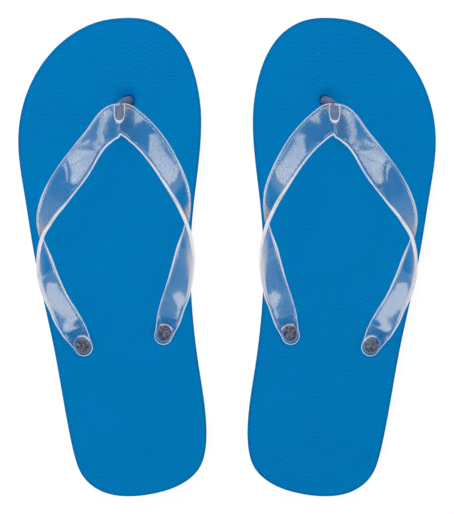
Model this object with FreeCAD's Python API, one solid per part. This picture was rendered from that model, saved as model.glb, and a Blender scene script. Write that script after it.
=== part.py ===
import FreeCAD, Part
import math
import os

Vector = FreeCAD.Vector
UP = Vector(0, 0, 1)

# A pair of thong sandals (flip flops), standing side by side, toes towards +Y.
# Origin on the ground, midway between the two sandals and midway between heel and toe;
# +X to the wearer's right, +Y towards the toes, +Z up. Millimetres and degrees.
# Everything below describes the left sandal; the right one is its mirror image.

# ---------------------------------------------------------------- dimensions
# sole: three bonded foam sheets of one outline
OUTSOLE_T = 3.0
MIDSOLE_T = 8.5
FOOTBED_T = 3.5
MIDSOLE_Z = OUTSOLE_T
FOOTBED_Z = OUTSOLE_T + MIDSOLE_T
SOLE_T = FOOTBED_Z + FOOTBED_T
BEND_Y = 45.0              # each sheet is split here, across the ball of the foot

# tread: transverse grooves in the underside
GROOVE_PITCH = 8.0
GROOVE_PHASE = 1.0         # y of the middle groove
GROOVES_EACH_WAY = 15      # grooves in front of the middle one, and behind it
GROOVE_W = 2.0
GROOVE_DEPTH = 0.8
GROOVE_INSET = 7.0         # the grooves stop this far from the sole's edge
GROOVE_HOLE_MARGIN = 3.0   # and this far from the counterbores
INSET_POINTS = 180         # corners of the polygon that bounds the grooves

# anchor holes in the sole: toe post, outer (lateral) and inner (medial) plug
TOE_HOLE = (-54.10, 86.60)
OUTER_HOLE = (-80.00, -48.40)
INNER_HOLE = (-34.70, -42.00)
HOLES = [TOE_HOLE, OUTER_HOLE, INNER_HOLE]
HOLE_R = 2.60
TOE_FLARE_R = 3.30
TOE_FLARE_DEPTH = 2.0
COUNTERBORE_R = 8.0
COUNTERBORE_Z = 4.0        # roof of the recess for the retaining discs

# cutting tools overshoot what they cut
CUT_BOTTOM = -5
CUT_TOP = 30
GROOVE_OVERSHOOT = 1
FLARE_OVERSHOOT = 0.1

# plugs and the lower end of the toe post
SHANK_R = 2.50
SHANK_Z = COUNTERBORE_Z - 0.5    # the shank starts inside its disc
DISC_R = 7.0
DISC_Z = 1.4               # underside of a retaining disc, clear of the ground
DOME_R = 3.70              # half width of a plug's domed head
DOME_STRETCH = 1.13        # the head is a little longer along the band
DOME_H = 1.6
DOME_RIM_H = 0.35          # upright rim below the dome
DOME_MID = (0.66, 0.86)    # point on the dome's arc, as parts of DOME_R and DOME_H
DOME_OVERLAP = 0.3         # the shank reaches this far into the head

# band
BAND_T = 2.4
BAND_BEVEL = 0.7
PAD_GAP = 0.05             # below the rear pads, and again between pad and plug head
PAD_LEAD = 5.4             # a pad starts this far before its plug
PAD_OFFSET = 1.6           # the rounded end's centre lies this far past the plug
OUTER_PAD_R = 5.15
INNER_PAD_R = 5.40
OUTER_HEADING = -61.3      # direction of the band's end in plan, degrees from +X
INNER_HEADING = -108.7
OUTER_END_W = 11.4         # width where the band meets its pad
INNER_END_W = 12.4
STRAP_HOLE_R = 2.55
STRAP_HOLE_CUT = (10, 17.7)    # bottom and top of the tool that bores the pads

# Apex frame: origin near the band's front edge, x to the left (-X),
# y along the band towards the heel and upwards, z out of its upper face.
APEX_TILT = math.radians(27.0)
APEX_ORIGIN = Vector(-59.50, 84.20, SOLE_T + 9.60)
APEX_X = Vector(-1, 0, 0)
APEX_Y = Vector(0, -math.cos(APEX_TILT), math.sin(APEX_TILT))
APEX_Z = Vector(0, math.sin(APEX_TILT), math.cos(APEX_TILT))

# upper end of the toe post, in the apex frame, and the socket that holds it
POST_HEAD_HALF_W = 2.9
POST_HEAD_FRONT = 0.6
POST_HEAD_REAR = 10.2
POST_HEAD_BOTTOM = -2.9
POST_HEAD_TOP = -0.6
POST_CLEAR = 0.05          # gap between the post's head and its socket
SOCKET_FRONT = -4.0        # the socket and the notch open forwards from here

# outline of the left sole, clockwise from the toe: x, y
OUTLINE = [
    (-57.35, 132.31), (-43.04, 130.94), (-30.61, 123.83), (-22.16, 112.23),
    (-17.24, 98.68), (-14.77, 84.47), (-14.40, 70.04), (-15.44, 55.65),
    (-17.10, 41.30), (-18.75, 26.96), (-19.90, 12.56), (-20.32, -1.87),
    (-20.06, -16.30), (-19.19, -30.72), (-17.77, -45.08), (-15.86, -59.40),
    (-13.63, -73.66), (-11.86, -87.99), (-11.54, -102.42), (-15.08, -116.26),
    (-25.74, -125.76), (-39.34, -130.48), (-53.65, -132.20), (-67.85, -130.04),
    (-79.30, -121.61), (-84.70, -108.31), (-87.73, -94.19), (-90.35, -79.99),
    (-92.81, -65.76), (-95.42, -51.56), (-98.40, -37.43), (-101.52, -23.33),
    (-104.52, -9.21), (-107.23, 4.97), (-109.56, 19.22), (-111.81, 33.49),
    (-114.12, 47.74), (-115.44, 62.11), (-114.46, 76.50), (-110.80, 90.44),
    (-104.52, 103.42), (-95.71, 114.83), (-84.61, 124.01), (-71.57, 130.10),
]

# Band stations, apex to rear pad. Each row is one cross-section: x, y and height
# above the footbed of its upper edge, then of its lower edge. The band lies face
# up at the apex, stands on edge beside the foot and is turned over at the rear pad.
OUTER_LEG = [
    (-58.36, 67.60, 18.40, -58.36, 84.30, 9.60),
    (-59.60, 66.30, 18.70, -63.50, 83.50, 9.80),
    (-61.40, 64.60, 19.50, -68.80, 80.30, 10.60),
    (-63.30, 62.70, 20.60, -73.00, 75.50, 11.90),
    (-65.01, 61.15, 21.67, -76.29, 70.75, 13.33),
    (-68.79, 55.68, 23.94, -81.13, 64.78, 16.66),
    (-72.68, 49.70, 26.45, -85.50, 58.98, 20.37),
    (-76.70, 43.73, 29.14, -89.70, 53.17, 23.86),
    (-80.92, 37.86, 32.05, -93.78, 47.34, 26.61),
    (-85.08, 32.42, 35.41, -97.74, 41.06, 28.37),
    (-89.13, 27.36, 38.90, -101.05, 33.96, 29.06),
    (-93.11, 22.28, 42.39, -102.99, 26.10, 29.41),
    (-96.21, 17.95, 44.14, -103.19, 19.59, 29.06),
    (-98.98, 13.08, 44.71, -102.12, 13.32, 28.39),
    (-101.15, 7.50, 44.62, -100.09, 7.56, 28.18),
    (-102.55, 1.48, 43.33, -97.65, 2.18, 27.81),
    (-103.16, -4.72, 40.92, -95.12, -2.98, 27.08),
    (-102.94, -10.94, 37.60, -92.70, -7.96, 25.86),
    (-101.70, -17.78, 32.92, -90.12, -13.38, 23.52),
    (-99.59, -24.27, 27.70, -87.61, -18.77, 20.18),
    (-96.83, -30.42, 21.91, -85.07, -24.22, 15.69),
    (-93.98, -35.61, 16.20, -82.76, -29.21, 11.02),
    (-91.33, -39.97, 10.97, -80.67, -33.75, 6.77),
    (-89.21, -43.69, 5.67, -78.71, -37.67, 4.19),
    (-87.16, -46.90, 1.54, -77.16, -41.42, 1.34),
]
INNER_LEG = [
    (-58.36, 67.60, 18.40, -58.36, 84.30, 9.60),
    (-57.00, 66.30, 18.70, -53.40, 83.80, 9.80),
    (-55.40, 64.80, 19.30, -48.60, 80.60, 11.20),
    (-53.80, 63.20, 19.90, -44.40, 76.90, 13.20),
    (-52.17, 61.64, 20.04, -40.69, 73.08, 14.96),
    (-48.20, 57.33, 23.10, -35.80, 67.45, 17.50),
    (-44.23, 52.53, 26.80, -31.65, 61.63, 20.02),
    (-40.35, 47.58, 30.68, -27.99, 55.54, 22.32),
    (-36.57, 42.53, 34.41, -24.85, 49.21, 24.25),
    (-32.92, 37.53, 37.97, -22.36, 42.49, 25.81),
    (-29.44, 32.44, 41.04, -20.84, 35.42, 26.92),
    (-26.18, 26.98, 43.76, -20.52, 28.22, 28.04),
    (-23.76, 22.28, 44.84, -21.14, 22.62, 28.36),
    (-21.65, 17.28, 44.84, -22.43, 17.26, 28.26),
    (-19.91, 12.00, 44.35, -24.19, 12.16, 28.45),
    (-18.66, 6.51, 42.79, -26.20, 7.27, 28.35),
    (-17.96, 0.93, 40.17, -28.24, 2.49, 27.83),
    (-17.86, -4.63, 36.68, -30.14, -2.33, 26.78),
    (-18.36, -10.76, 31.79, -32.06, -7.84, 24.65),
    (-19.37, -16.83, 26.34, -33.75, -13.43, 21.54),
    (-20.79, -22.83, 20.37, -35.31, -19.05, 17.23),
    (-22.36, -28.11, 14.65, -36.62, -24.07, 12.57),
    (-24.00, -32.66, 9.60, -37.70, -28.52, 8.14),
    (-25.69, -36.48, 5.46, -38.47, -32.38, 4.40),
    (-27.37, -39.86, 1.55, -39.13, -35.88, 1.33),
]


def cylinder(centre, radius, bottom, top):
    """Upright cylinder round a point in plan."""
    return Part.makeCylinder(radius, top - bottom, Vector(*centre, bottom))


def closed_polygon(points):
    return Part.makePolygon(points + points[:1])


# ---------------------------------------------------------------- the sole
def periodic_curve(shift_y):
    curve = Part.BSplineCurve()
    curve.interpolate([Vector(x, y + shift_y, 0) for x, y in OUTLINE], PeriodicFlag=True)
    return curve


def make_sole_curve():
    """The smooth outline, centred between heel and toe."""
    box = periodic_curve(0).toShape().BoundBox
    return periodic_curve(-(box.YMin + box.YMax) / 2.0)


SOLE_CURVE = make_sole_curve()


def sole_sheet(bottom, top):
    outline = Part.Wire([SOLE_CURVE.toShape()])
    outline.translate(Vector(0, 0, bottom))
    return Part.Face(outline).extrude(Vector(0, 0, top - bottom))


def bore(hole):
    return cylinder(hole, HOLE_R, CUT_BOTTOM, CUT_TOP)


def counterbore(hole):
    return cylinder(hole, COUNTERBORE_R, CUT_BOTTOM, COUNTERBORE_Z)


def make_footbed():
    footbed = sole_sheet(FOOTBED_Z, SOLE_T)
    for hole in HOLES:
        footbed = footbed.cut(bore(hole))
    # the toe hole is flared, so that the post can lean back as it leaves it
    flare = Part.makeCone(HOLE_R, TOE_FLARE_R, TOE_FLARE_DEPTH + FLARE_OVERSHOOT,
                          Vector(*TOE_HOLE, SOLE_T - TOE_FLARE_DEPTH), UP)
    return footbed.cut(flare)


def make_midsole():
    midsole = sole_sheet(MIDSOLE_Z, FOOTBED_Z)
    for hole in HOLES:
        midsole = midsole.cut(bore(hole)).cut(counterbore(hole))
    return midsole


def inset_outline(distance):
    """The sole's outline moved inwards, as a closed polygon."""
    first = SOLE_CURVE.FirstParameter
    last = SOLE_CURVE.LastParameter
    points = []
    for i in range(INSET_POINTS):
        parameter = first + (last - first) * i / INSET_POINTS
        point = SOLE_CURVE.value(parameter)
        tangent = SOLE_CURVE.tangent(parameter)[0]
        # the outline runs clockwise, so its inside is to the right
        points.append(Vector(point.x + distance * tangent.y, point.y - distance * tangent.x, 0))
    return closed_polygon(points)


def groove_cutters():
    land = Part.Face(inset_outline(GROOVE_INSET))
    land.translate(Vector(0, 0, -GROOVE_OVERSHOOT))
    land = land.extrude(Vector(0, 0, 6))
    bars = []
    for i in range(-GROOVES_EACH_WAY, GROOVES_EACH_WAY + 1):
        y = GROOVE_PITCH * i + GROOVE_PHASE
        bar = Part.makeBox(140, GROOVE_W, GROOVE_DEPTH + GROOVE_OVERSHOOT,
                           Vector(-130, y - GROOVE_W / 2, -GROOVE_OVERSHOOT))
        bar = bar.common(land)
        for hole in HOLES:
            bar = bar.cut(cylinder(hole, COUNTERBORE_R + GROOVE_HOLE_MARGIN, CUT_BOTTOM, CUT_TOP))
        bars.append(bar)
    return Part.makeCompound(bars)


def make_outsole():
    outsole = sole_sheet(0.0, MIDSOLE_Z)
    for hole in HOLES:
        outsole = outsole.cut(counterbore(hole))
    return outsole.cut(groove_cutters())


def sheet_part(sheet, y_start, length):
    """The part of a sheet between two values of y."""
    return sheet.common(Part.makeBox(200, length, 60, Vector(-160, y_start, -10)))


# ---------------------------------------------------------------- the band
def make_leg(rows, side):
    """Loft of bevelled sections. side is +1 for the outer leg, -1 for the inner."""
    uppers = [Vector(row[0], row[1], SOLE_T + row[2]) for row in rows]
    lowers = [Vector(row[3], row[4], SOLE_T + row[5]) for row in rows]
    centres = [(upper + lower) * 0.5 for upper, lower in zip(uppers, lowers)]
    last = len(rows) - 1
    half_t = BAND_T / 2.0
    flat_t = half_t - BAND_BEVEL
    sections = []
    for i, centre in enumerate(centres):
        across = uppers[i] - lowers[i]
        half_w = across.Length / 2.0
        flat_w = half_w - BAND_BEVEL
        across.normalize()
        if i == 0:
            # both legs start square to X, so that they meet face to face
            along = Vector(-side, 0, 0)
        else:
            along = centres[min(i + 1, last)] - centres[i - 1]
            if i == last:
                along = Vector(along.x, along.y, 0)
            along = along - across * along.dot(across)
            along.normalize()
        normal = along.cross(across) * side
        corners = [(half_w, flat_t), (flat_w, half_t), (-flat_w, half_t), (-half_w, flat_t),
                   (-half_w, -flat_t), (-flat_w, -half_t), (flat_w, -half_t), (half_w, -flat_t)]
        sections.append(closed_polygon([centre + across * x + normal * y for x, y in corners]))
    return Part.makeLoft(sections, True, False)


def make_pad(hole, heading, end_r, start_w):
    """Flat rounded end of a leg, lying on the footbed round its plug."""
    angle = math.radians(heading)
    along = Vector(math.cos(angle), math.sin(angle), 0)
    across = Vector(-math.sin(angle), math.cos(angle), 0)
    centre = Vector(*hole, SOLE_T + PAD_GAP)
    start = centre - along * PAD_LEAD
    end = centre + along * PAD_OFFSET
    corners = [start + across * (start_w / 2), end + across * end_r,
               end - across * end_r, start - across * (start_w / 2)]
    taper = Part.Face(closed_polygon(corners)).extrude(Vector(0, 0, BAND_T))
    return taper.fuse(Part.makeCylinder(end_r, BAND_T, end))


def apex_point(x, y, z):
    return APEX_ORIGIN + APEX_X * x + APEX_Y * y + APEX_Z * z


def apex_slab(half_w, front, rear, bottom, top, rounded=True):
    """A slab in the apex frame, with a rounded or a square rear end."""
    straight_end = rear - half_w if rounded else rear
    front_left = apex_point(half_w, front, bottom)
    front_right = apex_point(-half_w, front, bottom)
    rear_left = apex_point(half_w, straight_end, bottom)
    rear_right = apex_point(-half_w, straight_end, bottom)
    if rounded:
        rear_edge = Part.Arc(rear_left, apex_point(0, rear, bottom), rear_right).toShape()
    else:
        rear_edge = Part.makeLine(rear_left, rear_right)
    outline = Part.Wire([Part.makeLine(front_right, front_left),
                         Part.makeLine(front_left, rear_left),
                         rear_edge,
                         Part.makeLine(rear_right, front_right)])
    return Part.Face(outline).extrude(APEX_Z * (top - bottom))


def make_strap():
    boss = apex_slab(half_w=4.3, front=2.2, rear=12.2, bottom=-3.7, top=-0.4)
    socket = apex_slab(POST_HEAD_HALF_W + POST_CLEAR, SOCKET_FRONT, POST_HEAD_REAR + POST_CLEAR,
                       POST_HEAD_BOTTOM - POST_CLEAR, POST_HEAD_TOP + POST_CLEAR)
    # the notch opens the band's front edge where the post passes
    notch = apex_slab(half_w=2.2, front=SOCKET_FRONT, rear=2.0, bottom=-6.0, top=2.5,
                      rounded=False)
    strap = make_leg(OUTER_LEG, 1).fuse(make_leg(INNER_LEG, -1))
    strap = strap.fuse([make_pad(OUTER_HOLE, OUTER_HEADING, OUTER_PAD_R, OUTER_END_W),
                        make_pad(INNER_HOLE, INNER_HEADING, INNER_PAD_R, INNER_END_W),
                        boss])
    strap = strap.cut(socket).cut(notch)
    for hole in (OUTER_HOLE, INNER_HOLE):
        strap = strap.cut(cylinder(hole, STRAP_HOLE_R, *STRAP_HOLE_CUT))
    return strap.removeSplitter()


# ---------------------------------------------------------------- toe post
# centreline of the post's rod, with its radius at each point
POST_PATH = [
    (Vector(*TOE_HOLE, 12.0), 2.35),
    (Vector(*TOE_HOLE, 13.9), 2.35),
    (Vector(*TOE_HOLE, 15.8), 2.35),
    (Vector(-54.5, 86.6, 17.4), 2.32),
    (Vector(-55.5, 86.3, 19.0), 2.25),
    (Vector(-57.0, 85.5, 20.4), 2.15),
    (Vector(-58.5, 84.6, 21.4), 2.05),
    (Vector(-59.4, 83.6, 22.3), 1.95),
    (apex_point(0, 1.5, -1.75), 1.80),
]


def make_post_rod():
    rings = []
    last = len(POST_PATH) - 1
    for i, (centre, radius) in enumerate(POST_PATH):
        if i == 0:
            along = UP
        elif i == last:
            along = APEX_Y
        else:
            along = POST_PATH[i + 1][0] - POST_PATH[i - 1][0]
        # turning every ring from the same start direction keeps the rod free of twist
        ring = Part.makeCircle(radius)
        ring.Placement = FreeCAD.Placement(centre, FreeCAD.Rotation(UP, along))
        rings.append(Part.Wire([ring]))
    return Part.makeLoft(rings, True, False)


def make_disc(hole):
    """Retaining disc in the recess under the sole."""
    return cylinder(hole, DISC_R, DISC_Z, COUNTERBORE_Z)


def make_toe_post():
    head = apex_slab(POST_HEAD_HALF_W, POST_HEAD_FRONT, POST_HEAD_REAR,
                     POST_HEAD_BOTTOM, POST_HEAD_TOP)
    shank = cylinder(TOE_HOLE, SHANK_R, SHANK_Z, SOLE_T)
    return shank.fuse([make_disc(TOE_HOLE), make_post_rod(), head]).removeSplitter()


# ---------------------------------------------------------------- plugs
def make_plug(hole, heading):
    seat = SOLE_T + 2 * PAD_GAP + BAND_T
    centre = Vector(0, 0, seat)
    rim_bottom = Vector(DOME_R, 0, seat)
    rim_top = Vector(DOME_R, 0, seat + DOME_RIM_H)
    middle = Vector(DOME_R * DOME_MID[0], 0, seat + DOME_H * DOME_MID[1])
    crown = Vector(0, 0, seat + DOME_H)
    profile = Part.Wire([Part.makeLine(centre, rim_bottom),
                         Part.makeLine(rim_bottom, rim_top),
                         Part.Arc(rim_top, middle, crown).toShape(),
                         Part.makeLine(crown, centre)])
    dome = Part.Face(profile).revolve(Vector(0, 0, 0), UP, 360)
    stretch = FreeCAD.Matrix()
    stretch.scale(DOME_STRETCH, 1.0, 1.0)
    dome = dome.transformGeometry(stretch)
    dome.rotate(Vector(0, 0, 0), UP, heading)
    dome.translate(Vector(*hole, 0))
    shank = cylinder(hole, SHANK_R, SHANK_Z, seat + DOME_OVERLAP)
    return shank.fuse([dome, make_disc(hole)]).removeSplitter()


# ---------------------------------------------------------------- write
pieces = {
    "strap": make_strap(),
    "toe_post": make_toe_post(),
    "outer_plug": make_plug(OUTER_HOLE, OUTER_HEADING),
    "inner_plug": make_plug(INNER_HOLE, INNER_HEADING),
}
for name, sheet in (("footbed", make_footbed()),
                    ("midsole", make_midsole()),
                    ("outsole", make_outsole())):
    pieces[name + "_front"] = sheet_part(sheet, BEND_Y, 200)
    pieces[name + "_rear"] = sheet_part(sheet, BEND_Y - 250, 250)

os.makedirs("parts", exist_ok=True)
for name, shape in pieces.items():
    if len(shape.Solids) != 1 or not shape.Solids[0].isValid():
        raise RuntimeError("%s is not one valid solid" % name)
    solid = shape.Solids[0]
    solid.exportStep("parts/left_%s.step" % name)
    solid.mirror(Vector(0, 0, 0), Vector(1, 0, 0)).exportStep("parts/right_%s.step" % name)
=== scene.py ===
"""A pair of thong sandals with clear bands, lying on a pale floor and seen from straight above.

The left sandal is modelled in millimetres at x < 0, toe towards +Y, sole resting on z = 0.
The right one is its mirror image in x = 0. "Inner" is the side nearest x = 0.
"""
import math
from collections import namedtuple

import bmesh
import bpy
import numpy as np
from mathutils import Matrix, Vector
from mathutils.geometry import delaunay_2d_cdt


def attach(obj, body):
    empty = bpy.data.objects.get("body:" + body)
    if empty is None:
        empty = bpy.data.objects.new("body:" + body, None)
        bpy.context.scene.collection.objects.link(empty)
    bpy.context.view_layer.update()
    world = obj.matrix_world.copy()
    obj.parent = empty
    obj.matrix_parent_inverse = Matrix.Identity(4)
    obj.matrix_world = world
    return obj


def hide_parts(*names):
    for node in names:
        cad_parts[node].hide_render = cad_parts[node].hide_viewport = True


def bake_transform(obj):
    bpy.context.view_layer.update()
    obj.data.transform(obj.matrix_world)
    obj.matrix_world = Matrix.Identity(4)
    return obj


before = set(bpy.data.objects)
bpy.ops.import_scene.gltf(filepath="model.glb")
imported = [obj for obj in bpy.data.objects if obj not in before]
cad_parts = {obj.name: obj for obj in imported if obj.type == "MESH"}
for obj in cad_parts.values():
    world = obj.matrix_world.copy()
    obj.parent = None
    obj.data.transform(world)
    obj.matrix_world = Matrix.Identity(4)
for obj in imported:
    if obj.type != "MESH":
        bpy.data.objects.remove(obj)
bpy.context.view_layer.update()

# --------------------------------------------------------------------------
# driving dimensions, millimetres
# --------------------------------------------------------------------------
MM = 0.001
SOLE_TOP = 15.0
MIDSOLE_TOP = 11.5
OUTSOLE_TOP = 3.0
LAYER_GAP = 0.01            # each layer stops this far short of the level where two meet
LAYER_INSET = 0.26          # rounding of the layers' edges where they meet
RIM_POINTS = 460

Opening = namedtuple("Opening", "radius segments")
BORE = Opening(2.6, 30)
RECESS = Opening(8.0, 48)   # round recess in the underside, one below each bore
RECESS_ROOF = 4.0
TOE_HOLE = np.array((-54.1, 86.6))
OUTER_HOLE = np.array((-80.0, -48.4))
INNER_HOLE = np.array((-34.7, -42.0))
HOLES = [TOE_HOLE, OUTER_HOLE, INNER_HOLE]
# direction in which each leg of the band runs over its hole
OUTER_HEADING = math.radians(-61.3)
INNER_HEADING = math.radians(-108.7)

# sole outline, clockwise from the toe: x, y
OUTLINE = np.array([
    (-57.35, 132.31), (-43.04, 130.94), (-30.61, 123.83), (-22.16, 112.23),
    (-17.24, 98.68), (-14.77, 84.47), (-14.40, 70.04), (-15.44, 55.65),
    (-17.10, 41.30), (-18.75, 26.96), (-19.90, 12.56), (-20.32, -1.87),
    (-20.06, -16.30), (-19.19, -30.72), (-17.77, -45.08), (-15.86, -59.40),
    (-13.63, -73.66), (-11.86, -87.99), (-11.54, -102.42), (-15.08, -116.26),
    (-25.74, -125.76), (-39.34, -130.48), (-53.65, -132.20), (-67.85, -130.04),
    (-79.30, -121.61), (-84.70, -108.31), (-87.73, -94.19), (-90.35, -79.99),
    (-92.81, -65.76), (-95.42, -51.56), (-98.40, -37.43), (-101.52, -23.33),
    (-104.52, -9.21), (-107.23, 4.97), (-109.56, 19.22), (-111.81, 33.49),
    (-114.12, 47.74), (-115.44, 62.11), (-114.46, 76.50), (-110.80, 90.44),
    (-104.52, 103.42), (-95.71, 114.83), (-84.61, 124.01), (-71.57, 130.10),
])

# Band sections: x, y, height above the footbed of the upper edge, then of the lower edge.
# Each leg is listed from the apex towards its rear pad.
APEX_SECTION = (-58.38, 66.93, 18.40, -58.37, 84.51, 9.60)
OUTER_LEG = [
    (-59.07, 65.88, 18.70, -63.58, 83.73, 9.80),
    (-61.23, 64.40, 19.50, -69.02, 80.55, 10.60),
    (-63.32, 62.72, 20.60, -73.20, 75.65, 11.90),
    (-65.14, 61.27, 21.67, -76.41, 70.84, 13.33),
    (-69.25, 55.98, 23.94, -81.09, 64.74, 16.66),
    (-72.67, 49.69, 26.45, -85.50, 58.98, 20.37),
    (-76.33, 43.46, 29.14, -89.81, 53.25, 23.86),
    (-80.57, 37.59, 32.05, -93.78, 47.34, 26.61),
    (-84.74, 32.14, 35.41, -97.54, 40.95, 28.37),
    (-88.71, 27.01, 38.90, -100.82, 33.87, 29.06),
    (-92.81, 22.04, 42.39, -102.96, 26.10, 29.41),
    (-95.81, 17.68, 44.14, -103.37, 19.58, 29.06),
    (-98.98, 13.08, 44.71, -102.12, 13.32, 28.39),
    (-101.15, 7.50, 44.62, -100.09, 7.56, 28.18),
    (-102.55, 1.48, 43.33, -97.43, 2.29, 27.81),
    (-103.16, -4.72, 40.92, -95.14, -2.99, 27.08),
    (-102.94, -10.94, 37.60, -93.17, -8.19, 25.86),
    (-101.70, -17.78, 32.92, -90.80, -13.71, 23.52),
    (-99.59, -24.27, 27.70, -88.36, -19.14, 20.18),
    (-96.83, -30.42, 21.91, -85.49, -24.43, 15.69),
    (-94.76, -36.12, 16.20, -82.63, -29.15, 11.02),
    (-92.33, -40.62, 10.97, -80.27, -33.54, 6.77),
    (-90.20, -44.33, 5.67, -78.25, -37.45, 4.19),
]
INNER_LEG = [
    (-57.09, 66.22, 18.70, -53.39, 83.82, 9.80),
    (-55.28, 64.94, 19.30, -48.59, 80.61, 11.20),
    (-53.55, 63.45, 19.90, -44.30, 77.01, 13.20),
    (-51.83, 61.99, 20.04, -40.55, 73.21, 14.96),
    (-47.64, 57.82, 23.10, -35.71, 67.52, 17.50),
    (-43.61, 53.03, 26.80, -31.66, 61.63, 20.02),
    (-39.86, 47.96, 30.68, -28.20, 55.43, 22.32),
    (-36.30, 42.73, 34.41, -25.07, 49.11, 24.25),
    (-32.91, 37.53, 37.97, -22.45, 42.46, 25.81),
    (-29.55, 32.37, 41.04, -20.68, 35.44, 26.92),
    (-26.33, 26.90, 43.76, -20.52, 28.22, 28.04),
    (-23.88, 22.22, 44.84, -21.14, 22.62, 28.36),
    (-21.65, 17.28, 44.84, -22.43, 17.26, 28.26),
    (-19.91, 12.00, 44.35, -24.19, 12.16, 28.45),
    (-18.66, 6.51, 42.79, -26.35, 7.33, 28.35),
    (-17.96, 0.93, 40.17, -28.03, 2.40, 27.83),
    (-17.86, -4.63, 36.68, -29.45, -2.58, 26.78),
    (-18.36, -10.76, 31.79, -31.05, -8.16, 24.65),
    (-19.37, -16.83, 26.34, -32.80, -13.70, 21.54),
    (-20.79, -22.83, 20.37, -34.69, -19.21, 17.23),
    (-22.94, -27.93, 14.65, -36.35, -24.14, 12.57),
    (-24.48, -32.47, 9.60, -37.65, -28.53, 8.14),
    (-25.89, -36.38, 5.46, -38.48, -32.38, 4.40),
]


# --------------------------------------------------------------------------
# curves and distances
# --------------------------------------------------------------------------
def ease(x, start, end):
    """0 up to start, 1 from end on, a smooth rise between."""
    part = np.clip((x - start) / (end - start), 0.0, 1.0)
    return part * part * (3 - 2 * part)


def full_turn(count):
    return np.arange(count) * 2 * math.pi / count


def direction(heading):
    return np.array((math.cos(heading), math.sin(heading)))


def arc_length(points):
    """Distance along a polyline at each of its points."""
    return np.r_[0, np.cumsum(np.linalg.norm(np.diff(points, axis=0), axis=1))]


def natural_spline(knots, points):
    """Natural cubic spline through the rows of points at the knots, as a function."""
    count = len(knots)
    gaps = np.diff(knots)
    system = np.zeros((count, count))
    target = np.zeros((count, points.shape[1]))
    system[0, 0] = system[-1, -1] = 1.0
    for i in range(1, count - 1):
        system[i, i - 1] = gaps[i - 1]
        system[i, i] = 2 * (gaps[i - 1] + gaps[i])
        system[i, i + 1] = gaps[i]
        target[i] = 6 * ((points[i + 1] - points[i]) / gaps[i]
                         - (points[i] - points[i - 1]) / gaps[i - 1])
    bends = np.linalg.solve(system, target)

    def evaluate(at):
        span = np.clip(np.searchsorted(knots, at, side="right") - 1, 0, count - 2)
        before = ((knots[span + 1] - at) / gaps[span])[:, None]
        after = ((at - knots[span]) / gaps[span])[:, None]
        scale = (gaps[span] ** 2)[:, None] / 6
        return (before * points[span] + after * points[span + 1]
                + ((before ** 3 - before) * bends[span]
                   + (after ** 3 - after) * bends[span + 1]) * scale)
    return evaluate


def resample_outline(points, count):
    """Evenly spaced points on a smooth closed curve through the points, centred in y."""
    overlap = 5
    wrapped = np.vstack([points[-overlap:], points, points[:overlap + 1]])
    knots = np.r_[0, np.cumsum(np.hypot(*np.diff(wrapped, axis=0).T))]
    curve = natural_spline(knots, wrapped)
    fine = np.linspace(knots[overlap], knots[overlap + len(points)], 6001)
    length = np.r_[0, np.cumsum(np.hypot(*np.diff(curve(fine), axis=0).T))]
    even = np.interp(np.linspace(0, length[-1], count + 1)[:-1], length, fine)
    loop = curve(even)
    loop[:, 1] -= (loop[:, 1].max() + loop[:, 1].min()) / 2
    return loop


def inward_normals(loop):
    """Unit normals of a clockwise loop, pointing inwards."""
    tangent = np.roll(loop, -1, axis=0) - np.roll(loop, 1, axis=0)
    tangent /= np.linalg.norm(tangent, axis=1)[:, None]
    return np.c_[tangent[:, 1], -tangent[:, 0]]


def is_inside(points, loop):
    x, y = points[:, 0], points[:, 1]
    result = np.zeros(len(points), bool)
    for (x0, y0), (x1, y1) in zip(loop, np.roll(loop, -1, axis=0)):
        if y0 == y1:
            continue
        crossed = (y0 > y) != (y1 > y)
        result ^= crossed & (x < (x1 - x0) * (y - y0) / (y1 - y0) + x0)
    return result


def segment_distance(points, starts, ends):
    """Distance of each point to the nearest segment, in any dimension."""
    nearest = np.full(len(points), 1e9)
    for start, end in zip(starts, ends):
        along = end - start
        squared = along @ along
        if squared < 1e-12:
            distance = np.linalg.norm(points - start, axis=1)
        else:
            part = np.clip(((points - start) @ along) / squared, 0, 1)
            distance = np.linalg.norm(points - start - part[:, None] * along, axis=1)
        nearest = np.minimum(nearest, distance)
    return nearest


def loop_distance(points, loop):
    return segment_distance(points, loop, np.roll(loop, -1, axis=0))


def distance_to(points, centre):
    return np.hypot(points[:, 0] - centre[0], points[:, 1] - centre[1])


# --------------------------------------------------------------------------
# mesh helpers
# --------------------------------------------------------------------------
def triangulate(points, loops, centres, radius):
    """Delaunay triangles bounded by the index loops, leaving out discs round the centres.

    Returns the flat points, the faces (counter-clockwise) and a map from given to new index.
    """
    edges = [(loop[i], loop[(i + 1) % len(loop)]) for loop in loops for i in range(len(loop))]
    result = delaunay_2d_cdt([Vector(point) for point in points.tolist()], edges, [], 1, 1e-6)
    flat = np.array([(point.x, point.y) for point in result[0]])
    new_index = {old: new for new, olds in enumerate(result[3]) for old in olds}
    faces = np.array([tuple(face) for face in result[2]], int)
    middle = flat[faces].mean(1)
    keep = np.ones(len(faces), bool)
    for centre in centres:
        keep &= distance_to(middle, centre) > radius * 0.98
    faces = faces[keep]
    a, b, c = (flat[faces[:, i]] for i in range(3))
    area = (b[:, 0] - a[:, 0]) * (c[:, 1] - a[:, 1]) - (b[:, 1] - a[:, 1]) * (c[:, 0] - a[:, 0])
    faces[area < 0] = faces[area < 0][:, ::-1]
    return flat, faces[np.abs(area) > 1e-9], new_index


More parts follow.
